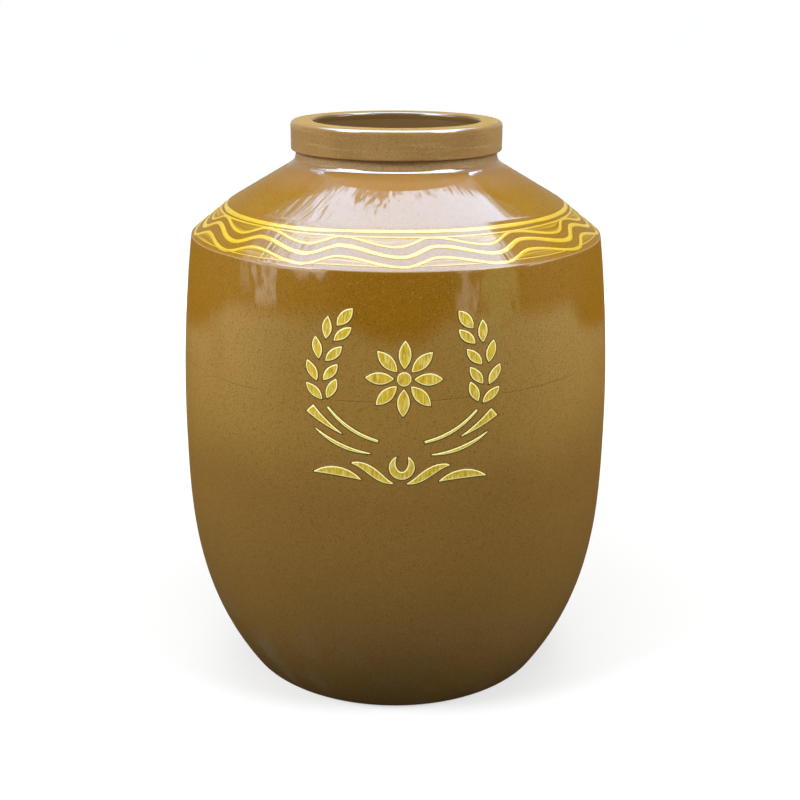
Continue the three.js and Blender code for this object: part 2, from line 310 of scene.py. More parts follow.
# heights between which each change of the glaze comes in, and those of its two thin lines
glazeHeights = {
    "low": (-0.04, 0.22),
    "belly": (0.16, 0.42),
    "haze": (0.40, 0.56),
    "veil": (0.44, 0.70),
    "crown": (0.705, 0.755),
    "dust": (0.03, 0.24),
    "shoulder": (0.803, 0.811),
    "pale": (0.68, 0.76),
    "crest": (0.885, 0.918),
    "satin": (0.30, 0.80),
    "sheen": (0.45, 0.80),
    "under": (0.62, 0.78),
    "gloss": (0.800, 0.806),
    "neck": (0.9185, 0.9225),
    "joint": 0.604,
    "edge": 0.8048,
}

# distances sideways from the middle between which it changes
glazeAcross = {
    "veil": (0.10, 0.28),
    "paleReflectionEnd": (0.30, 0.39),
    "middle": (0.02, 0.10),
    "side": (0.27, 0.34),
    "deep": (0.25, 0.33),
    "flank": (0.05, 0.15),
    "dust": (0.04, 0.24),
    "shine": (0.05, 0.12),
    "shineEnd": (0.28, 0.35),
}

glazeGloss = {"wall": 0.015, "under": 0.10, "shoulder": 0.285, "neck": 0.45}


# brown glaze: colour by height, cloudy patches, painted pale reflections either side of the middle, a redder
# crown round the top of the wall that is partly a painted dark reflection, and fine flecks; the shoulder adds
# streaked slip in the band's lenses, a painted pale reflection near the neck and a pale edge
def brownGlaze(name, shoulder=False):
    look, at, wide, shine = glazeLook, glazeHeights, glazeAcross, glazeGloss
    material, g = newMaterial(name)
    x, z = g.axis("X"), g.axis("Z")
    cloud = (g.noise(4.5, 3) - 0.5) * 0.12
    colour = g.mix((z + cloud * 0.4).ramp(*at["low"]), look["foot"], look["low"])
    colour = g.mix((z + cloud).ramp(*at["belly"]), colour, look["belly"])
    colour = g.mix((z + cloud).ramp(*at["haze"]), colour, look["haze"])
    across = x.math("ABSOLUTE")
    # painted reflection: paler colour either side of the middle, where bright surroundings are mirrored
    aside = across + (g.noise(7, 3, stretch=(1, 1, 0.35)) - 0.5) * 0.25
    beside = aside.ramp(*wide["veil"]) * (1 - aside.ramp(*wide["paleReflectionEnd"]) * 0.9)
    colour = g.mix(beside * z.ramp(*at["veil"]) * 0.45, colour, look["veil"])
    # the crown hangs lower in the middle and at the sides; its dark middle between brighter flanks is partly
    # the glaze's own tone and partly a painted dark reflection, and it gives way to the painted pale
    # reflection
    dip = (1 - across.ramp(*wide["middle"])) * 0.03 + across.ramp(*wide["side"]) * 0.065
    crown = (z + dip + cloud * 0.35 + (g.noise(14, 3) - 0.5) * 0.05).ramp(*at["crown"])
    upper = crown * (0.94 - beside * (0.35 - across.ramp(*wide["deep"]) * 0.27))
    colour = g.mix(upper, colour, look["upper"])
    colour = g.mix(crown * across.ramp(*wide["flank"]) * 0.6, colour, look["flank"])
    level = z - x * 0.012 + (g.noise(5, 2) - 0.5) * 0.010
    joint = level.near(at["joint"], 0.0003, 0.0014) * g.noise(8, 2).ramp(0.34, 0.56)
    colour = g.mix(joint * 0.32, colour, look["joint"])
    dust = g.noise(15, 4, stretch=(1, 1, 0.6)).ramp(0.46, 0.70) * (1 - z.ramp(*at["dust"]))
    colour = g.mix(dust * (0.35 + (x * -1).ramp(*wide["dust"]) * 0.35), colour, look["dust"])
    colour = g.mix(z.ramp(*at["shoulder"]), colour, look["shoulder"])
    colour = g.mix(g.noise(430, 3).ramp(0.50, 0.68) * 0.55, colour, look["fleck"])
    pale = g.noise(520, 2).ramp(0.58, 0.74) * (0.45 + z.ramp(*at["pale"]) * 0.35)
    colour = g.mix(pale, colour, look["pale"])
    if shoulder:
        turn = g.node("ShaderNodeSeparateXYZ", None, {0: g.node("ShaderNodeTexCoord", output="UV")}, "X")
        flow = g.node("ShaderNodeCombineXYZ", None, {0: turn * 15, 1: g.attribute("flow") * 8})
        streak = g.noise(1.0, 2, vector=flow).ramp(0.46, 0.60)
        colour = g.mix(g.attribute("wash") * (0.05 + streak * 0.60), colour, look["wash"])
        # painted reflection: a paler band on the shoulder near the neck
        colour = g.mix(z.ramp(*at["crest"]) * 0.6, colour, look["crest"])
        colour = g.mix(z.near(at["edge"], 0.0003, 0.0012) * 0.45, colour, look["edge"])
    # the wall shines a little, more under the shoulder's edge and either side of the middle
    gloss = z.ramp(*at["gloss"])
    under = z.ramp(*at["under"]) * (1 - gloss)
    flanks = across.ramp(*wide["shine"]) * (1 - across.ramp(*wide["shineEnd"]))
    sheen = z.ramp(*at["sheen"]) * shine["wall"] + under * flanks * shine["under"]
    grain = g.noise(260, 2) * 0.25 + g.noise(38, 2) * 0.5 + g.noise(11, 1) * 1.2 - joint * 1.5
    g.surface({
        "Base Color": colour,
        "Roughness": 0.46 - z.ramp(*at["satin"]) * 0.14,
        "IOR": 1.01,
        "Coat Weight": sheen + gloss * shine["shoulder"] + z.ramp(*at["neck"]) * shine["neck"],
        "Coat Roughness": 0.035,
        "Coat IOR": 1.85,
        "Normal": g.bump(grain, 0.0007, 0.35),
    })
    return material


clayLook = {
    "body": (0.30, 0.188, 0.086),
    "dark": (0.12, 0.07, 0.03),
    "inside": (0.14, 0.078, 0.022),
    "shaded": (0.9405, 0.9475),
    "bore": (0.150, 0.158),
}


# neck: matte clay, with painted shade under the collar, and glazed inside the mouth
def neckClay():
    material, g = newMaterial("neckClay")
    z = g.axis("Z")
    colour = g.mix(g.noise(300, 3).ramp(0.42, 0.72) * 0.5, clayLook["body"], clayLook["dark"])
    # painted shade: darker at the top of the neck, under the collar
    colour = g.mix(z.ramp(*clayLook["shaded"]) * 0.55, colour, clayLook["dark"])
    colour = g.mix(g.reach().ramp(*clayLook["bore"]), clayLook["inside"], colour)
    g.surface({
        "Base Color": colour,
        "Roughness": 0.62,
        "IOR": 1.3,
        "Normal": g.bump(g.noise(400, 3), 0.0006, 0.5),
    })
    return material


collarLook = {
    "body": (0.312, 0.186, 0.064),
    "pale": (0.46, 0.32, 0.16),
    "dark": (0.165, 0.092, 0.026),
    "rim": (0.27, 0.160, 0.036),
    "top": (0.988, 0.996),
    "lip": 0.9943,
    "bore": (0.1462, 0.1500),
}


# collar: sandy satin glaze with pale and dark specks, glossier and more golden on the rim
def collarGlaze():
    look = collarLook
    material, g = newMaterial("collarGlaze")
    z = g.axis("Z")
    rim = z.ramp(*look["top"])
    colour = g.mix(g.noise(9, 3).ramp(0.35, 0.7) * 0.5, look["body"], look["dark"])
    colour = g.mix(g.noise(26, 3, stretch=(0.3, 0.3, 4)).ramp(0.52, 0.70) * 0.35, colour, look["pale"])
    colour = g.mix(g.noise(380, 2).ramp(0.52, 0.74) * 0.32, colour, look["pale"])
    colour = g.mix(g.noise(430, 2).ramp(0.54, 0.72) * 0.65, colour, look["dark"])
    colour = g.mix(rim, colour, look["rim"])
    colour = g.mix(g.reach().ramp(*look["bore"]), clayLook["inside"], colour)
    g.surface({
        "Base Color": colour,
        "Roughness": 0.42,
        "IOR": 1.15,
        "Coat Weight": z.near(look["lip"], 0.0017, 0.0027) * 0.85,
        "Coat Roughness": 0.08,
        "Coat IOR": 1.7,
        "Normal": g.bump(g.noise(330, 3) * 0.5 + g.noise(24, 2) * 0.6, 0.0009, 0.35),
    })
    return material


slipLook = {
    "line": (0.57, 0.395, 0.010),
    "brush": (0.46, 0.275, 0.008),
    # the outline is painted shadow round the carved pieces
    "outline": (0.088, 0.045, 0.003),
    "border": (0.93, 0.86, 0.34),
    "fill": (0.60, 0.42, 0.030),
    "streak": (0.42, 0.27, 0.012),
    "skirt": 0.0017,
}


# band lines: bright yellow, orange towards their edges
def bandSlip():
    look = slipLook
    material, g = newMaterial("bandSlip")
    edge = g.attribute("edge")
    brush = g.noise(45, 3, stretch=(1, 1, 2.5)).ramp(0.45, 0.75) * 0.5
    colour = g.mix(brush, look["line"], look["brush"])
    colour = g.mix(1 - edge.ramp(0.0, 0.0012), colour, look["brush"])
    g.surface({
        "Base Color": colour,
        "Roughness": 0.35,
        "IOR": 1.2,
        "Coat Weight": 0.4,
        "Coat Roughness": 0.035,
        "Coat IOR": 1.75,
    })
    return material


# carved pieces: a dark outline painted as the shadow round the carved edge, a pale border and a streaked
# fill, by distance from the outline
def carvedSlip():
    look = slipLook
    material, g = newMaterial("carvedSlip")
    edge = g.attribute("edge")
    skirt = look["skirt"]
    streak = g.noise(330, 2, stretch=(1, 1, 0.14)).ramp(0.42, 0.66)
    fill = g.mix(streak, look["fill"], look["streak"])
    fill = g.mix(g.noise(70, 2).ramp(0.45, 0.8) * 0.5, fill, look["line"])
    scratch = g.noise(410, 2, stretch=(1, 1, 0.10)).ramp(0.50, 0.66)
    fill = g.mix(scratch * 0.4, fill, look["border"])
    inner = g.mix(edge.ramp(skirt + 0.0010, skirt + 0.0024), look["border"], fill)
    # painted shadow: the outermost band, over the skirt, is dark
    colour = g.mix(edge.ramp(skirt - 0.0003, skirt + 0.0002), look["outline"], inner)
    g.surface({"Base Color": colour, "Roughness": 0.36, "IOR": 1.3})
    return material


wallGlaze = brownGlaze("wallGlaze")
shoulderGlaze = brownGlaze("shoulderGlaze", True)
yellowLine = bandSlip()
yellowCarved = carvedSlip()
print("materials made")


# The jar's sections

jar = {
    "footRadius": 0.286,
    "footEdge": 0.004,
    "bellyRadius": 0.388,
    "bellyHeight": 0.450,
    "lowerPower": 3,
    "upperPower": 2,
    "edgeRadius": 0.363,
    "edgeHeight": 0.805,
    "edgeRound": 0.0018,
    "slope": math.radians(38.4),
    "bandLength": 0.090,
    "kinkBlend": 0.006,
    "neckSeat": 0.9275,
    "filletOut": 0.021,
    "filletUp": 0.005,
    "neckRadius": 0.1785,
    "wall": 0.020,
    "baseTop": 0.0265,
    "floorTop": 0.036,
    "waistSeam": 0.452,
    "shoulderSeam": 0.774,
    "bore": 0.1615,
    "slipGap": 0.0005,
    "shoulderSegments": 448,
}

# radius and height of the shoulder's edge, the way up the band's cone, and the kink where that cone ends
edgePoint = np.array([jar["edgeRadius"], jar["edgeHeight"]])
bandWay = np.array([-math.cos(jar["slope"]), math.sin(jar["slope"])])
kinkPoint = edgePoint + bandWay * jar["bandLength"]


# outer radius of the wall: a power curve down from the belly, another up to the edge
def wallRadius(z):
    drop = np.clip((jar["bellyHeight"] - z) / jar["bellyHeight"], 0, None)
    climb = np.clip((z - jar["bellyHeight"]) / (jar["edgeHeight"] - jar["bellyHeight"]), 0, None)
    low = (jar["bellyRadius"] - jar["footRadius"]) * drop ** jar["lowerPower"]
    high = (jar["bellyRadius"] - jar["edgeRadius"]) * climb ** jar["upperPower"]
    return jar["bellyRadius"] - low - high


# points of the wall between two heights, set in towards the axis
def wallRun(low, high, count, inset=0.0):
    z = np.linspace(low, high, count)
    return np.stack([wallRadius(z) - inset, z], axis=1)


# the whole outside as one smooth profile, from the foot to the neck
def outsideProfile():
    edge, kink = edgePoint, kinkPoint
    neck = np.array([jar["neckRadius"], jar["neckSeat"]])
    upper = (neck - kink) / np.linalg.norm(neck - kink)
    edgeRound, blend, fillet = jar["edgeRound"], jar["kinkBlend"], jar["filletOut"]
    foot = wallRun(jar["footEdge"], jar["footEdge"], 1)[0]
    under = wallRun(jar["edgeHeight"] - edgeRound, jar["edgeHeight"] - edgeRound, 1)[0]
    return chain(
        bend((jar["footRadius"] - jar["footEdge"], 0), (jar["footRadius"], 0.0005), foot, 10),
        wallRun(jar["footEdge"], jar["baseTop"], 5),
        wallRun(jar["baseTop"], jar["waistSeam"], 60),
        wallRun(jar["waistSeam"], jar["shoulderSeam"], 50),
        wallRun(jar["shoulderSeam"], jar["edgeHeight"] - edgeRound, 8),
        bend(under, edge, edge + bandWay * edgeRound, 10),
        straight(edge + bandWay * edgeRound, kink - bandWay * blend, 44),
        bend(kink - bandWay * blend, kink, kink + upper * blend, 6),
        straight(kink + upper * blend, neck - upper * fillet, 26),
        bend(neck - upper * fillet, neck, neck + (0, jar["filletUp"]), 10),
    )


outside = outsideProfile()
outsideShade = profileNormals(outside)


# the part of the outside between two heights
def outsideRun(low, high):
    kept = (outside[:, 1] > low - 1e-6) & (outside[:, 1] < high + 1e-6)
    return outside[kept], outsideShade[kept]


# height of the shoulder's underside at a radius, one wall below each cone
def underShoulder(r):
    slope, wall = jar["slope"], jar["wall"]
    upper = math.atan2(jar["neckSeat"] - kinkPoint[1], kinkPoint[0] - jar["neckRadius"])
    low = edgePoint[1] + (edgePoint[0] - r) * math.tan(slope) - wall / math.cos(slope)
    high = kinkPoint[1] + (kinkPoint[0] - r) * math.tan(upper) - wall / math.cos(upper)
    return np.minimum(low, high)


# base, two walls and shoulder: stretches of the outside closed by the inside, one wall further in
def buildSections():
    wall, base, floor = jar["wall"], jar["baseTop"], jar["floorTop"]
    waist, seam, bore = jar["waistSeam"], jar["shoulderSeam"], jar["bore"]
    rim = outsideRun(-1, base)
    ledge = (wallRadius(base) - wall - jar["slipGap"], base)
    step = (wallRadius(floor) - wall - jar["slipGap"], floor)
    slab = turned("jarBase", [
        straight((0, 0), rim[0][0], 4),
        rim,
        *cornered([rim[0][-1], ledge, step, (0, floor)], (2, 2, 3)),
    ], wallGlaze, closed=False)
    settle(slab, "brown_glaze", "base_slab")

    walls = [("jarLowerWall", "lower_wall", base, waist, 26), ("jarUpperWall", "upper_wall", waist, seam, 20)]
    for name, node, low, high, rows in walls:
        outer, inner = outsideRun(low, high), wallRun(high, low, rows, wall)
        piece = turned(name, [outer, straight(outer[0][-1], inner[0]), inner], wallGlaze)
        settle(piece, "brown_glaze", node)

    cover = outsideRun(seam, 2)
    corner = jar["edgeRadius"] - wall
    radii = np.linspace(bore, corner, 40)
    beneath = np.stack([radii, underShoulder(radii)], axis=1)
    foot = wallRun(seam, seam, 1, wall)[0]
    top = cover[0][-1]
    profile = [
        cover,
        *cornered([top, (bore, top[1]), beneath[0]], (2, 2)),
        beneath,
        straight(beneath[-1], foot, 4),
    ]
    segments = jar["shoulderSegments"]
    rows = sum(len(run[0] if isinstance(run, tuple) else run) - 1 for run in profile) + 1
    wash, flow = np.zeros((2, rows, segments))
    slant = (jar["edgeRadius"] - cover[0][:, 0]) / math.cos(jar["slope"])
    angle = np.arange(segments) * 2 * math.pi / segments
    wash[: len(slant)], flow[: len(slant)] = washShare(slant[:, None], angle[None])
    piece = turned("jarShoulder", profile, shoulderGlaze, segments, values={"wash": wash, "flow": flow})
    settle(piece, "brown_glaze", "shoulder_dome")


# The wave band on the shoulder

band = {
    "periods": 14,
    "fall": 0.64,
    "start": math.radians(-15.8),
    "topLine": {"distance": 0.0800, "width": 0.0082, "sag": 0.0034},
    "upperLine": {"distance": 0.0683, "width": 0.0036},
    "upperWave": {"distance": 0.0577, "width": 0.0054, "height": 0.0190, "lag": 0.0},
    "middleWave": {"distance": 0.0392, "width": 0.0083, "height": 0.0208, "lag": math.radians(1.9)},
    "lowerWave": {"distance": 0.0176, "width": 0.0063, "height": 0.0188, "lag": math.radians(2.6)},
    "lowerLine": {"distance": 0.0108, "width": 0.0021, "sag": 0.0024},
    "slip": {"angle": math.radians(60), "reach": math.radians(22), "by": math.radians(2.4)},
    "sagging": {"angle": math.radians(-45), "reach": math.radians(32)},
    "lift": 0.0005, "sink": 0.0004, "steps": 896,
    "wobble": (0.0004, 0.0003), "uneven": 0.14, "seeds": (1.3, 2.1, 0.7),
    "washSoft": (0.002, 0.001), "washSplit": 0.04, "lensSlack": 0.002,
}


# a bell round one angle
def bell(place, angle):
    away = np.mod(angle - place["angle"] + math.pi, 2 * math.pi) - math.pi
    return np.exp(-((away / place["reach"]) ** 2))


# slant distance of a line, or of a wave: a cosine whose fall is longer than its rise, late towards the right
def bandSlant(line, angle):
    late = band["slip"]["by"] * bell(band["slip"], angle) + line.get("lag", 0) * (1 + np.sin(angle)) / 2
    turn = np.mod((angle - late - band["start"]) * band["periods"] / (2 * math.pi), 1)
    fall = band["fall"]
    phase = np.where(turn < fall, turn / fall, 1 + (turn - fall) / (1 - fall))
    wave = line.get("height", 0) / 2 * np.cos(math.pi * phase)
    return line["distance"] + wave - line.get("sag", 0) * bell(band["sagging"], angle)


# where streaked slip fills the lens between a wave and its line, and how far across the lens a place lies
def washShare(slant, angle):
    upper, lower = bandSlant(band["upperWave"], angle), bandSlant(band["lowerWave"], angle)
    top, foot = bandSlant(band["upperLine"], angle), bandSlant(band["lowerLine"], angle)
    byWave, byLine = band["washSoft"]
    high = ramp(0, byWave, slant - upper) * ramp(0, byLine, top - slant)
    low = ramp(0, byWave, lower - slant) * ramp(0, byLine, slant - foot)
    upperFlow = (slant - upper) / (top - upper + band["lensSlack"])
    lowerFlow = 3 + (slant - foot) / (lower - foot + band["lensSlack"])
    flow = np.where(slant > band["washSplit"], upperFlow, lowerFlow)
    return np.maximum(high, low), np.clip(flow, -1, 5)


# points over the band's cone: angle from the front, slant distance from the edge, height off the cone
def bandPoint(angle, slant, lift):
    cos, sin = math.cos(jar["slope"]), math.sin(jar["slope"])
    r = jar["edgeRadius"] - slant * cos + lift * sin
    z = jar["edgeHeight"] + slant * sin + lift * cos
    return np.stack([r * np.sin(angle), -r * np.cos(angle), z], axis=-1)


# a closed low bead along a line or wave, a little uneven in width as a brush leaves it
def beadGrid(line, seed):
    steps = band["steps"]
    angle = np.arange(steps) * 2 * math.pi / steps
    uneven = sum(np.sin(k * angle + seed * k) for k in (5, 11, 17, 23)) / 4
    slow, quick = band["wobble"]
    centre = bandSlant(line, angle) + slow * np.sin(3 * angle + seed) + quick * np.sin(8 * angle + 2 * seed)
    radius = jar["edgeRadius"] - line["distance"] * math.cos(jar["slope"])
    lean = (np.roll(centre, -1) - np.roll(centre, 1)) / (4 * math.pi / steps * radius)
    half = line["width"] / 2 * (1 + band["uneven"] * uneven) * np.hypot(1, lean)
    across = np.array([-1, -0.92, -0.8, -0.4, 0, 0.4, 0.8, 0.92, 1])
    edge = (1 - np.abs(across))[None] * half[:, None]
    lift = band["lift"] * ramp(0, 0.25, 1 - np.abs(across))
    over = centre[:, None] + across[None] * half[:, None]
    under = centre[:, None] + np.array([1, -1])[None] * half[:, None]
    top = bandPoint(angle[:, None], over, np.broadcast_to(lift, over.shape))
    low = bandPoint(angle[:, None], under, np.full(under.shape, -band["sink"]))
    return np.concatenate([top, low], axis=1), np.concatenate([edge, np.zeros((steps, 2))], axis=1)


# faces of grids that close on themselves both ways
def ringFaces(rows, columns, offset):
    index = np.arange(rows * columns).reshape(rows, columns) + offset
    right, down = np.roll(index, -1, 0), np.roll(index, -1, 1)
    both = np.roll(down, -1, 0)
    return np.stack([index, right, both, down], axis=-1).reshape(-1, 4)


# each CAD node of the band from the beads of its one or two lines
def buildBand():
    groups = {
        "band_top_line": ["topLine"],
        "band_upper_scallop": ["upperWave", "upperLine"],
        "band_middle_wave": ["middleWave"],
        "band_lower_scallop": ["lowerWave", "lowerLine"],
    }
    first, step, small = band["seeds"]
    for number, (node, lines) in enumerate(groups.items()):
        points, edges, faces, offset = [], [], [], 0
        for part, line in enumerate(lines):
            grid, edge = beadGrid(band[line], first + step * number + small * part)
            faces.append(ringFaces(*grid.shape[:2], offset))
            points.append(grid.reshape(-1, 3))
            edges.append(edge.ravel())
            offset += edge.size
        values = {"edge": np.concatenate(edges)}
        piece = makeObject(pieceName(node), np.concatenate(points), faces, yellowLine, values=values)
        settle(piece, "yellow_glaze", node)


buildSections()
print("sections made")
buildBand()
print("band made")


# Neck and collar

neckRing = {
    "radius": 0.1785, "waist": 0.0015, "tube": 0.167, "mouth": 0.146, "spigot": 0.161,
    "low": 0.9155, "seat": 0.947, "top": 0.985,
}


# drawn-in band between shoulder and collar, with a spigot below and a tube inside the collar
def buildNeck():
    n = neckRing
    foot = outside[-1][1]
    z = np.linspace(foot, n["seat"], 14)
    drawnIn = n["waist"] * np.sin(math.pi * (z - foot) / (n["seat"] - foot))
    face = np.stack([n["radius"] - drawnIn, z], axis=1)
    tube = [(n["tube"], n["seat"]), (n["tube"], n["top"]), (n["mouth"], n["top"])]
    spigot = [(n["mouth"], n["low"]), (n["spigot"], n["low"]), (n["spigot"], foot)]
    inside = cornered([face[-1], *tube, *spigot], (2, 2, 2, 6, 2, 2))
    piece = turned("neckRing", [face, *inside], neckClay())
    settle(piece, "bare_clay", "neck_ring")


collar = {
    "radius": 0.185, "mouth": 0.146, "socket": 0.1674, "foot": 0.9474, "cap": 0.9854, "top": 0.997,
    "lowRound": 0.0025, "outerRound": 0.009, "innerRound": 0.005,
}


# thick band capped over the neck, rounded at its foot and on both edges of the rim
def buildCollar():
    c = collar
    radius, foot, top, mouth = c["radius"], c["foot"], c["top"], c["mouth"]
    low, outer, inner = c["lowRound"], c["outerRound"], c["innerRound"]
    face = chain(
        straight((c["socket"], foot), (radius - low, foot), 4),
        bend((radius - low, foot), (radius, foot), (radius, foot + low), 8),
        straight((radius, foot + low), (radius, top - outer), 16),
        bend((radius, top - outer), (radius, top), (radius - outer, top), 12),
        straight((radius - outer, top), (mouth + inner, top), 8),
        bend((mouth + inner, top), (mouth, top), (mouth, top - inner), 12),
        straight((mouth, top - inner), (mouth, c["cap"]), 4),
    )
    socket = cornered([face[-1], (c["socket"], c["cap"]), face[0]], (2, 2))
    piece = turned("collarRing", [face, *socket], collarGlaze())
    settle(piece, "collar_glaze", "collar_ring")


buildNeck()
buildCollar()
print("neck and collar made")


# The wreath on the wall

wreath = {
    "height": 0.618,
    "shift": 0.0118,
    "tilt": math.radians(-1.6),
    "rows": 26, "columns": 11, "crowd": 0.75,
    "lift": 0.0010, "hollow": 0.0004, "clear": 0.0001, "sink": 0.0005,
    "rise": (0.6, 0.0008), "fall": (0.0014, 0.0032),
    "seedPower": 0.95, "leastHalf": 0.0001,
}


# points of the wreath's plane carried back on to the wall, lifted off it
def wallPoint(flat, lift):
    cos, sin = math.cos(wreath["tilt"]), math.sin(wreath["tilt"])
    x = wreath["shift"] + flat[..., 0] * cos - flat[..., 1] * sin
    z = wreath["height"] + flat[..., 0] * sin + flat[..., 1] * cos
    r = wallRadius(z)
    share = (r + lift) / r
    return np.stack([x * share, -np.sqrt(r**2 - x**2) * share, z], axis=-1)


# a carved piece: a grid from one border line to the other and a skirt beyond in painted shadow, raised by its
# distance in from the outline, a little hollowed in the middle, and closed by a sunken back
def carvedPiece(node, left, right):
    skirt = slipLook["skirt"]
    middle = (left + right) / 2
    span = (right - left) / 2
    half = np.linalg.norm(span, axis=1)
    unit = span / np.maximum(half, 1e-6)[:, None]
    unit[half <= 1e-6] = unit[np.argmax(half)]
    first, last = middle[1] - middle[0], middle[-1] - middle[-2]
    start = middle[0] - first / np.linalg.norm(first) * skirt
    end = middle[-1] + last / np.linalg.norm(last) * skirt
    middle = np.concatenate([[start], middle, [end]])
    unit = np.concatenate([unit[:1], unit, unit[-1:]])
    half = np.concatenate([half[:1], half, half[-1:]])
    along = runLength(middle)
    across = np.linspace(-1, 1, wreath["columns"])
    across = np.sign(across) * np.abs(across) ** wreath["crowd"]
    reach = half + skirt
    flat = middle[:, None] + unit[:, None] * (across[None, :, None] * reach[:, None, None])
    sideways = (1 - np.abs(across))[None] * reach[:, None]
    edge = np.minimum(sideways, np.minimum(along, along[-1] - along)[:, None])
    rise, fall = wreath["rise"], wreath["fall"]
    raised = wreath["lift"] * ramp(skirt * rise[0], skirt + rise[1], edge)
    hollowed = wreath["hollow"] * ramp(skirt + fall[0], skirt + fall[1], edge)
    top = wallPoint(flat, raised - hollowed + wreath["clear"])
    bottom = wallPoint(flat, np.full(edge.shape, -wreath["sink"]))
    rows, columns = edge.shape
    index = np.arange(rows * columns).reshape(rows, columns)
    face = np.stack([index[:-1, :-1], index[:-1, 1:], index[1:, 1:], index[1:, :-1]], axis=-1).reshape(-1, 4)
    rim = np.concatenate([index[0, :-1], index[:-1, -1], index[-1, :0:-1], index[:0:-1, 0]])
    beside = np.roll(rim, -1)
    size = rows * columns
    sides = np.stack([rim, rim + size, beside + size, beside], axis=-1)
    probe = top[rows // 2, columns // 2]
    turn = np.cross(top[rows // 2, columns // 2 + 1] - probe, top[rows // 2 + 1, columns // 2] - probe)
    groups = [face, face[:, ::-1] + size, sides]
    if turn[1] > 0:
        groups = [group[:, ::-1] for group in groups]
    points = np.concatenate([top.reshape(-1, 3), bottom.reshape(-1, 3)])
    values = {"edge": np.tile(edge.ravel(), 2)}
    piece = makeObject(pieceName(node), points, groups, yellowCarved, values=values)
    settle(piece, "yellow_glaze", node)


# border lines of a seed: half widths, a power of a parabola, on both sides of a straight line
def seedSides(x, y, angle, length, width, lean=0.0):
    t = np.linspace(0, 1, wreath["rows"])
    along = np.array([math.cos(angle), math.sin(angle)])
    across = np.array([-along[1], along[0]])
    middle = np.array([x, y]) + (t - 0.5)[:, None] * length * along
    half = width / 2 * (4 * t * (1 - t)) ** wreath["seedPower"]
    left = half * (1 + lean * (2 * t - 1)) + wreath["leastHalf"]
    right = half * (1 - lean * (2 * t - 1)) + wreath["leastHalf"]
    return middle + left[:, None] * across, middle - right[:, None] * across


# border lines of a tapering stroke along a line bowed to its right hand, and swayed where it is an ogee
def strokeSides(start, end, bow, sway, widths):
    start, end = np.array(start), np.array(end)
    along = (end - start) / np.linalg.norm(end - start)
    t = np.linspace(0, 1, wreath["rows"])
    aside = 4 * t * (1 - t) * (bow + 0.75 * sway * (1 - 2 * t))
    line = straight(start, end, wreath["rows"]) + aside[:, None] * np.array([along[1], -along[0]])
    first, mid, last = widths
    width = first * (1 - t) + last * t + (mid - (first + last) / 2) * 4 * t * (1 - t)
    tangent = np.gradient(line, axis=0)
    tangent /= np.linalg.norm(tangent, axis=1, keepdims=True)
    normal = np.stack([tangent[:, 1], -tangent[:, 0]], axis=1)
    return line - normal * width[:, None] / 2, line + normal * width[:, None] / 2


# a piece of the left half and its twin on the right
def pair(kind, number, sides):
    for side, sign in (("left", 1), ("right", -1)):
        left, right = (line * (sign, 1) for line in sides)
        carvedPiece(f"{kind}_{side}_{number}", left, right)


ear = {
    "x": -0.124,
    "y": -0.009,
    "heading": math.radians(102),
    "turn": math.radians(54),
    "length": 0.136,
    "pairs": [0.04, 0.26, 0.51, 0.77],
    "tip": 0.97,
    "offset": 0.0136,
    "spread": (math.radians(37.5), math.radians(21)),
    "seed": (0.035, 0.0145),
    "tipSeed": (0.0365, 0.017),
    "lean": 0.12,
    "nudges": {
        2: (0.0005, 0.0022, math.radians(4)),
        3: (-0.0018, 0.0, math.radians(-4.5)),
        4: (0.0, 0.0008, math.radians(-3)),
        5: (0.0, 0.0, math.radians(-4)),
        7: (0.0, -0.003, 0.0),
        8: (0.0008, 0.0026, math.radians(5)),
    },
}


# place and heading along the ear's bent stem
def stemAt(share):
    radius = ear["length"] / ear["turn"]
    heading = ear["heading"] - ear["turn"] * share
    x = ear["x"] + radius * (math.sin(ear["heading"]) - math.sin(heading))
    y = ear["y"] + radius * (math.cos(heading) - math.cos(ear["heading"]))
    return x, y, heading


# ears: seeds in pairs either side of the stem and one at its tip, nudged as a hand sets them
def buildEars():
    number = 0
    for share in ear["pairs"]:
        x, y, heading = stemAt(share)
        spread = ear["spread"][0] * (1 - share) + ear["spread"][1] * share
        for side in (1, -1):
            number += 1
            right, up, turn = ear["nudges"].get(number, (0, 0, 0))
            seedX = x - side * ear["offset"] * math.sin(heading) + right
            seedY = y + side * ear["offset"] * math.cos(heading) + up
            seedTurn = heading + side * spread + turn
            sides = seedSides(seedX, seedY, seedTurn, *ear["seed"], ear["lean"] * side)
            pair("wheat_grain", number, sides)
    x, y, heading = stemAt(ear["tip"])
    pair("wheat_grain", number + 1, seedSides(x, y, heading, *ear["tipSeed"]))


# each stroke: its start, end, bow and sway, and its widths at the start, middle and end
strokes = {
    "stalk": [
        ((-0.1450, -0.0344), (-0.0936, -0.0704), 0.002, 0, (0.0162, 0.0086, 0.001)),
        ((-0.1167, -0.0293), (-0.0365, -0.0782), 0.008, 0, (0.003, 0.005, 0.004)),
        ((-0.1357, -0.0662), (-0.0479, -0.0992), 0.0075, 0, (0.0012, 0.006, 0.0012)),
    ],
    "ribbon_leaf": [
        ((-0.1368, -0.1396), (-0.0619, -0.1441), -0.0085, 0, (0.0012, 0.0146, 0.0012)),
        ((-0.0770, -0.1172), (-0.0109, -0.1478), -0.0025, -0.009, (0.0024, 0.014, 0.0012)),
    ],
}

crescent = {
    "x": 0.002, "y": -0.1205, "radius": 0.0202, "horn": 0.0083, "hollow": 0.0162, "hollowAt": 0.009,
    "rows": 40,
}


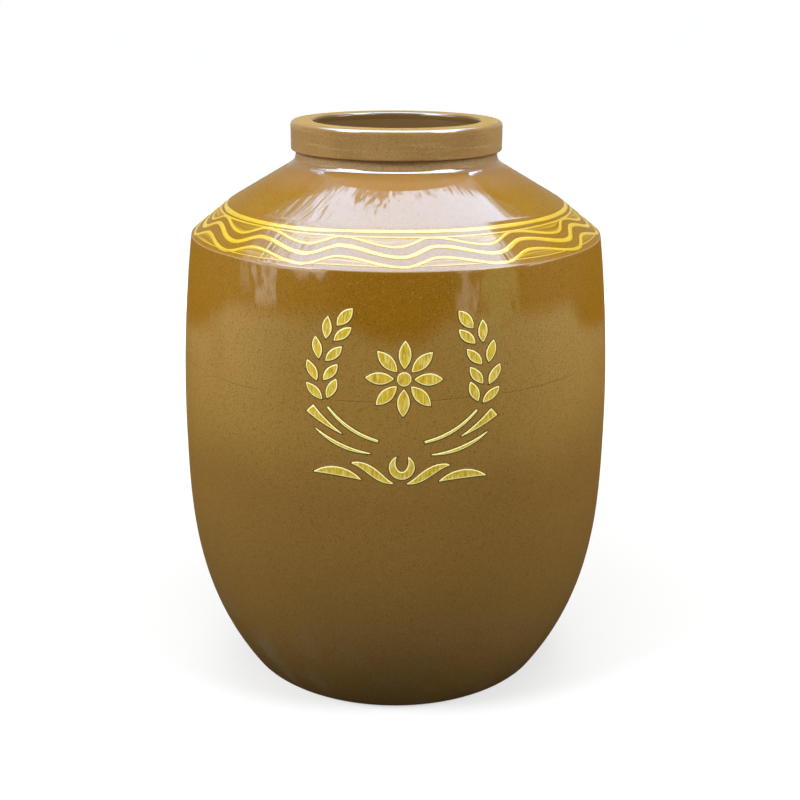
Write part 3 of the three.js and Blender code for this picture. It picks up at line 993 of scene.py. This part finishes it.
# crescent: from horn to horn round the bottom, between a circle and an oval
def buildCrescent():
    c = crescent
    rise = math.sqrt(c["radius"] ** 2 - c["horn"] ** 2)
    level = (rise - c["hollowAt"]) / c["hollow"]
    breadth = c["horn"] / math.sqrt(1 - level**2)
    outerTip, innerTip = math.atan2(rise, c["horn"]), math.asin(level)
    outer = np.linspace(math.pi - outerTip, 2 * math.pi + outerTip, c["rows"])
    inner = np.linspace(math.pi - innerTip, 2 * math.pi + innerTip, c["rows"])
    place = np.array([c["x"], c["y"]])
    circle = place + c["radius"] * np.stack([np.cos(outer), np.sin(outer)], axis=1)
    oval = np.stack([breadth * np.cos(inner), c["hollow"] * np.sin(inner)], axis=1)
    carvedPiece("crescent", circle, place + (0, c["hollowAt"]) + oval)


rosette = {
    "x": 0.001, "y": 0.023, "petals": 8, "inner": 0.016, "length": 0.044, "width": 0.019,
    "boss": 0.011, "bossRows": 24,
}


# rosette: seed-shaped petals round a boss
def buildRosette():
    r = rosette
    reach = r["inner"] + r["length"] / 2
    for number in range(r["petals"]):
        angle = math.pi / 2 + 2 * math.pi * number / r["petals"]
        x, y = r["x"] + reach * math.cos(angle), r["y"] + reach * math.sin(angle)
        sides = seedSides(x, y, angle, r["length"], r["width"])
        carvedPiece(f"rosette_petal_{number + 1}", *sides)
    t = np.linspace(0, math.pi, r["bossRows"])
    middle = np.stack([r["x"] - r["boss"] * np.cos(t), np.full(len(t), r["y"])], axis=1)
    half = r["boss"] * np.sin(t) + wreath["leastHalf"]
    up = np.stack([np.zeros(len(t)), half], axis=1)
    carvedPiece("rosette_boss", middle + up, middle - up)


buildEars()
for kind, group in strokes.items():
    for number, stroke in enumerate(group, 1):
        pair(kind, number, strokeSides(*stroke))
buildCrescent()
buildRosette()
print("wreath made")


# Floor, light and camera

# 1 for rays that show the backdrop straight to the camera or through glass, and a share for mirrored ones
def shown(g, mirrored):
    kinds = ("Camera", "Glossy", "Transmission")
    camera, gloss, through = (g.node("ShaderNodeLightPath", output=f"Is {kind} Ray") for kind in kinds)
    return camera.math("MAXIMUM", gloss * mirrored).math("MAXIMUM", through)


floorLook = {
    "radius": 300, "segments": 96, "mirrored": 0.4, "seen": 0.45, "bounce": 0.25,
    "near": 0.50, "far": 0.90, "fade": (0.6, 3.0),
}


# pale floor that keeps its shadow: lighter to the camera than in the light that it throws back, white far off
def buildFloor():
    look = floorLook
    material, g = newMaterial("floor")
    seen = shown(g, look["mirrored"])
    glow = look["near"] + g.reach().ramp(*look["fade"]) * (look["far"] - look["near"])
    colour = g.mix(seen, (look["bounce"],) * 3, (look["seen"],) * 3)
    matte = g.node("ShaderNodeBsdfDiffuse", None, {"Color": colour})
    white = g.mix(seen * glow, (0, 0, 0), (1, 1, 1))
    g.show(matte, g.glow(white))
    corners = np.arange(look["segments"])
    angle = corners * 2 * math.pi / len(corners)
    points = np.stack([np.cos(angle), np.sin(angle), np.zeros(len(corners))], axis=1) * look["radius"]
    makeObject("floor", points, [corners[None]], material)


skyLook = {
    "backdrop": (1, 1, 1),
    "mirrored": 0.33,
    "horizon": (0.45, 0.45, 0.45),
    "zenith": (0.20, 0.205, 0.21),
    "climb": (0.0, 0.35),
}


# soft world light, paler near the horizon; it shows as a white backdrop
def buildWorld():
    world = bpy.data.worlds.new("studio")
    world.use_nodes = True
    scene.world = world
    g = Graph(world.node_tree)
    way = g.node("ShaderNodeTexCoord", output="Generated")
    up = g.node("ShaderNodeSeparateXYZ", None, {0: way}, "Z")
    sky = g.mix(up.ramp(*skyLook["climb"]), skyLook["horizon"], skyLook["zenith"])
    sky = g.mix(shown(g, skyLook["mirrored"]), sky, skyLook["backdrop"])
    light = g.node("ShaderNodeBackground", None, {"Color": sky, "Strength": 1.0})
    g.node("ShaderNodeOutputWorld", None, {"Surface": light})


opening = {
    "height": 2.5, "half": 1.8, "front": -1.1, "back": 1.6, "strength": 16.0,
    "mirrored": (0.61, 0.85, 1.20),
    "lowTurn": (0.517, 0.190, 0.089),
    "highTurn": (0.539, 0.341, 0.265),
    "kink": (0.02, 0.06),
    "kinkBow": 0.62,
    "left": math.radians(-33),
    "right": math.radians(30),
    "widen": math.radians(8.5),
    "far": 0.395,
    "bow": 0.73,
    "notch": 0.045,
    "notchAt": (-0.175, 0.10, 0.14),
    "leaves": (28, 56),
    "ragged": {"left": 1.4, "right": 0.35, "far": 0.28},
    "beyond": 0.15,
    "aside": 0.06,
    "soft": (0.196, 0.196, 0.190),
    "side": 1.33,
    "lean": (0.55, 0.60),
    "leftIn": 0.30,
    "softFar": (0.345, 0.395),
    "softNear": (-0.57, -0.53),
}


# angle round the jar at which a place on the card is mirrored in one of the shoulder's two cones
def mirroredTurn(x, y, fit):
    plain, deeper, wider = fit
    return x * (plain + y * deeper - x * x * wider)


# overhead light card: what mirrors it sees it bright between two angles round the jar and short of a bowed
# far edge, broken up as by leaves, and the light that it throws is dimmer, with plain soft edges
def buildCard():
    o = opening
    ragged = o["ragged"]
    material, g = newMaterial("overheadCard")
    x, y = g.axis("X"), g.axis("Y")
    low, high = (mirroredTurn(x, y, o[cone]) for cone in ("lowTurn", "highTurn"))
    crown = (y - x * x * o["kinkBow"]).ramp(*o["kink"])
    turn = low + (high - low) * crown
    spot = g.node("ShaderNodeCombineXYZ", None, {0: turn * o["leaves"][0], 1: y * o["leaves"][1]})
    leaves = g.noise(1, 5, vector=spot) - 0.5
    left = (turn + leaves * ragged["left"]).past(o["left"], 0.012)
    right = 1 - (turn + leaves * ragged["right"] - crown * o["widen"]).past(o["right"], 0.015)
    depth = y - x * x * o["bow"]
    notch = turn.near(*o["notchAt"]) * o["notch"]
    far = (depth + leaves * ragged["far"] + notch).past(o["far"], 0.008)
    between = o["aside"] + left * right * (1 - o["aside"])
    seen = g.mix(between * (1 - far * (1 - o["beyond"])), (0, 0, 0), o["mirrored"])
    reach = x.math("ABSOLUTE") + (y - o["lean"][0]) * o["lean"][1] + (x * -1).ramp(0.0, 0.6) * o["leftIn"]
    ends = (1 - depth.ramp(*o["softFar"]) * 0.9) * y.ramp(*o["softNear"])
    thrown = g.mix((1 - reach.past(o["side"], 0.07)) * ends, (0, 0, 0), o["soft"])
    colour = g.mix(g.node("ShaderNodeLightPath", output="Is Glossy Ray"), thrown, seen)
    g.show(g.glow(colour, o["strength"]))
    half, front, back = o["half"], o["front"], o["back"]
    outline = ((-half, front), (-half, back), (half, back), (half, front))
    points = np.array([(*corner, o["height"]) for corner in outline])
    card = makeObject("overheadCard", points, [np.arange(4)[None]], material)
    card.visible_camera = False


surroundings = {
    "radius": 4.0, "low": 0.2, "high": 1.6, "segments": 128,
    "soft": 0.05, "footSoft": 0.06, "ragged": 0.5,
    "pale": [
        {"bearing": -63, "half": 27, "foot": 0.90, "light": (15, 15, 15)},
        {"bearing": -70, "half": 4.5, "foot": 0.52, "light": (11, 11.5, 11)},
        {"bearing": -84, "half": 3, "foot": 0.50, "light": (4, 4, 4)},
        {"bearing": 35, "half": 4, "foot": 0.55, "light": (8, 8, 7)},
        {"bearing": 53, "half": 9, "foot": 0.45, "light": (3.5, 5, 2)},
        {"bearing": 82, "half": 12, "foot": 0.90, "light": (12, 12, 12)},
    ],
}


# a ring round the jar that only gloss shows: pale upright places with ragged sides, each round its bearing
# from the front and above its foot
def buildSurroundings():
    material, g = newMaterial("surroundings")
    s = surroundings
    ragged = (g.noise(2.4, 4, stretch=(1, 1, 1.6)) - 0.5) * s["ragged"]
    bearing = g.axis("X").math("ARCTAN2", g.axis("Y") * -1) + ragged
    height = g.axis("Z") + ragged * 0.5
    colour = (0, 0, 0)
    for pale in s["pale"]:
        middle, half = math.radians(pale["bearing"]), math.radians(pale["half"])
        beside = bearing.near(middle, half - s["soft"], half + s["soft"])
        colour = g.mix(beside * height.past(pale["foot"], s["footSoft"]), colour, pale["light"])
    g.show(g.glow(colour), g.node("ShaderNodeBsdfTransparent"))
    count = s["segments"]
    index = np.arange(count)
    after = np.roll(index, -1)
    angle = index * 2 * math.pi / count
    ring = np.stack([np.sin(angle), -np.cos(angle)], axis=1) * s["radius"]
    points = np.concatenate([np.column_stack([ring, np.full(count, s[key])]) for key in ("low", "high")])
    faces = np.stack([index, index + count, after + count, after], axis=-1)
    made = makeObject("surroundings", points, [faces], material)
    for kind in ("camera", "diffuse", "transmission", "volume_scatter", "shadow"):
        setattr(made, "visible_" + kind, False)


# an area lamp aimed at a point
def addLamp(name, place, aim, size, power, mirrored=True):
    lamp = bpy.data.lights.new(name, "AREA")
    lamp.shape = "RECTANGLE"
    lamp.size, lamp.size_y = size
    lamp.energy = power
    made = bpy.data.objects.new(name, lamp)
    made.location = place
    made.rotation_euler = (Vector(aim) - Vector(place)).to_track_quat("-Z", "Y").to_euler()
    made.visible_camera = False
    made.visible_glossy = mirrored
    scene.collection.objects.link(made)


lamps = [
    {"name": "left", "place": (-2.75, -1.72, 3.0), "aim": (0, 0, 0.55), "size": (1.6, 1.6), "power": 160.0},
    {"name": "right", "place": (2.75, -1.72, 3.0), "aim": (0, 0, 0.55), "size": (1.6, 1.6), "power": 130.0},
    {
        "name": "back", "place": (0, 3.2, 0.9), "aim": (0, 0, 0.5), "size": (2.0, 1.2), "power": 50.0,
        "mirrored": False,
    },
]

cameraSet = {
    "place": (0.0, -2.143, 1.196), "pitch": 18.47, "yaw": 0.23, "roll": 0.3,
    "lens": 54.0, "sensor": 36.0, "clip": 1000,
}


# camera pitched down at the jar, turned a little to the right and rolled a little
def buildCamera():
    c = cameraSet
    data = bpy.data.cameras.new("camera")
    data.lens = c["lens"]
    data.sensor_width = c["sensor"]
    data.clip_end = c["clip"]
    made = bpy.data.objects.new("camera", data)
    made.location = c["place"]
    aim = Euler((math.radians(90 - c["pitch"]), 0, -math.radians(c["yaw"]))).to_matrix()
    made.rotation_euler = (aim @ Matrix.Rotation(math.radians(c["roll"]), 3, "Z")).to_euler()
    scene.collection.objects.link(made)
    scene.camera = made


buildFloor()
buildWorld()
buildCard()
buildSurroundings()
for lamp in lamps:
    addLamp(**lamp)
buildCamera()
scene.view_settings.view_transform = "Standard"
print("floor, light and camera made")
